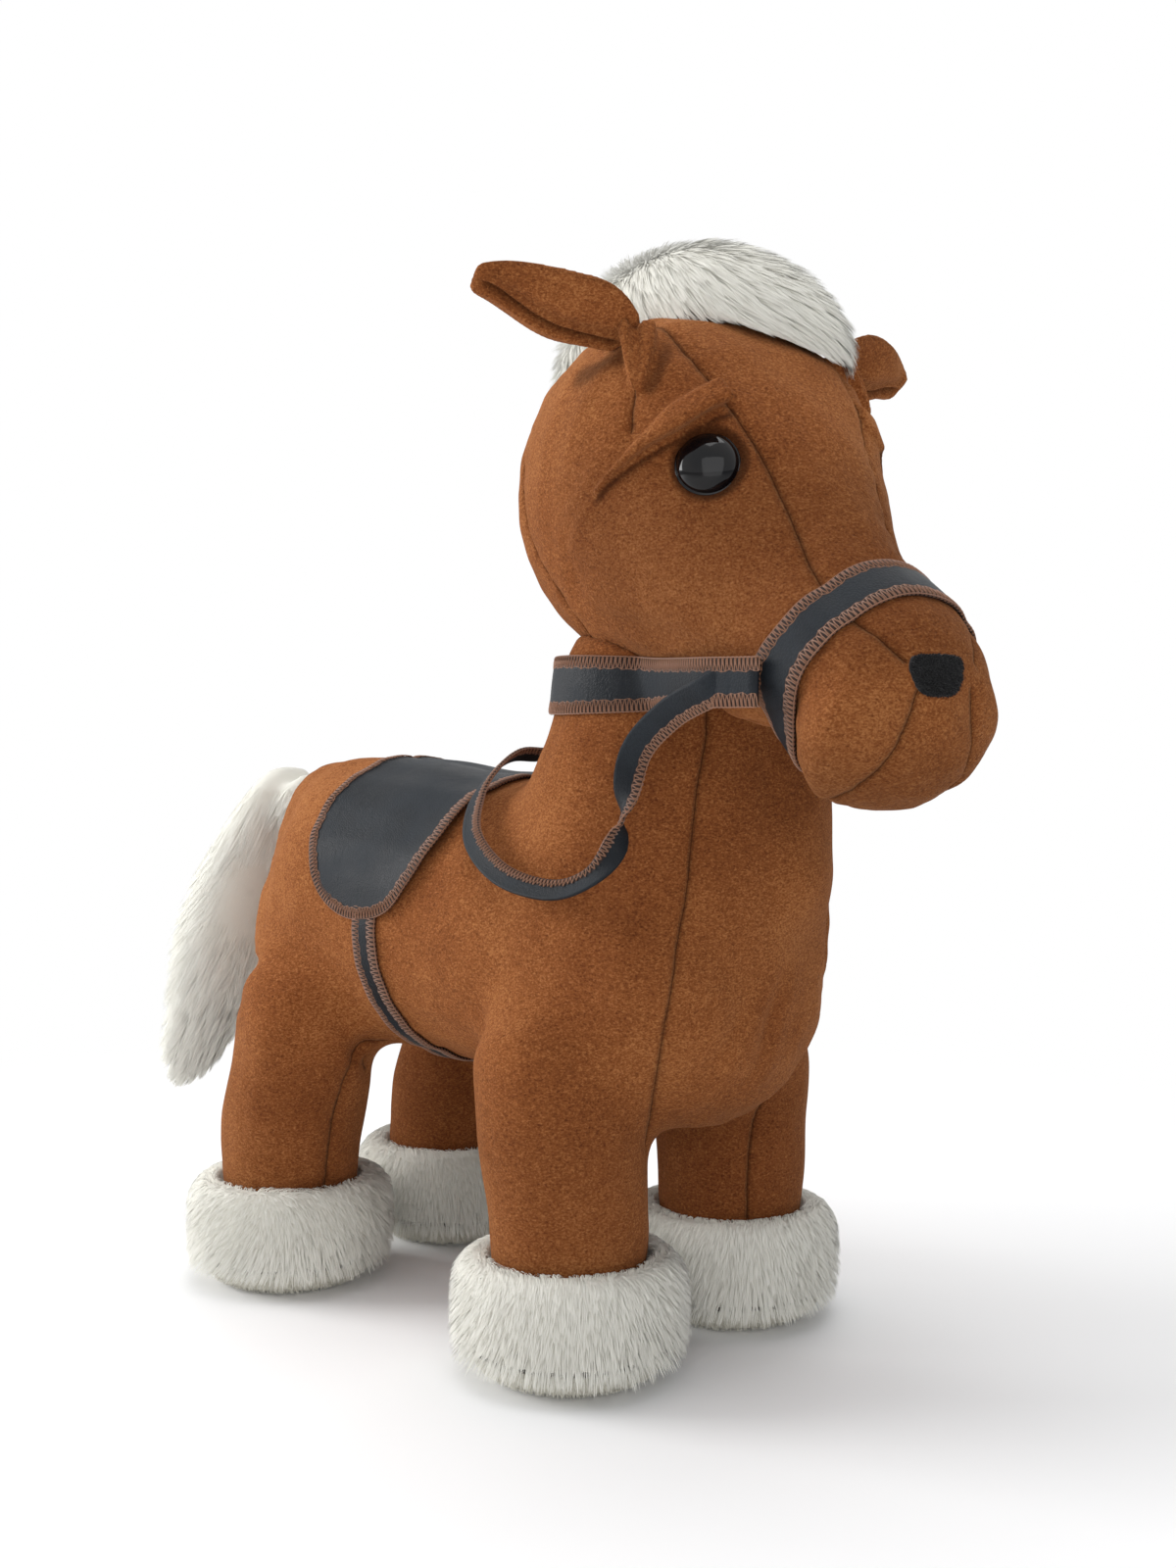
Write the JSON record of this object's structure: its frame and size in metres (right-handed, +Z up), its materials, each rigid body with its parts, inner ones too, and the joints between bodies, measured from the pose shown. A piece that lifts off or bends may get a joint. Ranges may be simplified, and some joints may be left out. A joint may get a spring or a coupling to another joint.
{
  "type": "plush horse",
  "caption": "Stuffed brown plush horse that stands on furry white hooves, with a white mane and tail, glossy dark eyes, a faux-leather saddle and bridle, and flopping ears.",
  "frame": {"origin": "middle of the bounding box's bottom face, on the floor", "axes": "+X to the horse's front, +Y to its left flank, +Z up"},
  "size_m": [0.5342, 0.2342, 0.4966],
  "materials": {
    "velboa": "short pile",
    "fur": "long pile",
    "leather": "satin faux leather",
    "eye": "polished",
    "washer": "moulded",
    "pile": "short pile"
  },
  "bodies": {
    "horse": {"torso": "velboa", "neck": "velboa", "head": "velboa", "leg_front_right": "velboa", "leg_front_left": "velboa", "leg_rear_right": "velboa", "leg_rear_left": "velboa", "eyelid_right": "velboa", "eyelid_left": "velboa", "fur_cuff_front_right": "fur", "hoof_sole_front_right": "fur", "fur_cuff_front_left": "fur", "hoof_sole_front_left": "fur", "fur_cuff_rear_right": "fur", "hoof_sole_rear_right": "fur", "fur_cuff_rear_left": "fur", "hoof_sole_rear_left": "fur", "mane": "fur", "saddle": "leather", "girth_strap": "leather", "noseband": "leather", "neck_strap": "leather", "eye_right": "eye", "eye_left": "eye", "eye_washer_right": "washer", "eye_washer_left": "washer", "nose_patch": "pile"},
    "tail": {"tail": "fur"},
    "ear_right": {"ear_right": "velboa"},
    "ear_left": {"ear_left": "velboa"},
    "reins": {"reins": "leather"}
  },
  "joints": [
    {"name": "tail_hinge", "type": "hinge", "parent": "horse", "child": "tail", "pos_m": [-0.17512, 0.00818, 0.24525], "axis": [-0.0396, 0.9962, -0.0777], "range_deg": [0, 70]},
    {"name": "ear_right_hinge", "type": "hinge", "parent": "horse", "child": "ear_right", "pos_m": [0.12854, -0.0619, 0.4463], "axis": [-0.7112, 0.291, -0.6399], "range_deg": [-12, 12]},
    {"name": "ear_left_hinge", "type": "hinge", "parent": "horse", "child": "ear_left", "pos_m": [0.1535, 0.03832, 0.44633], "axis": [-0.7303, -0.1393, -0.6687], "range_deg": [-20, 5]},
    {"name": "reins_hinge", "type": "hinge", "parent": "horse", "child": "reins", "pos_m": [0.19768, -0.02592, 0.30196], "axis": [0.2421, 0.9703, -0.0001], "range_deg": [0, 18]}
  ]
}
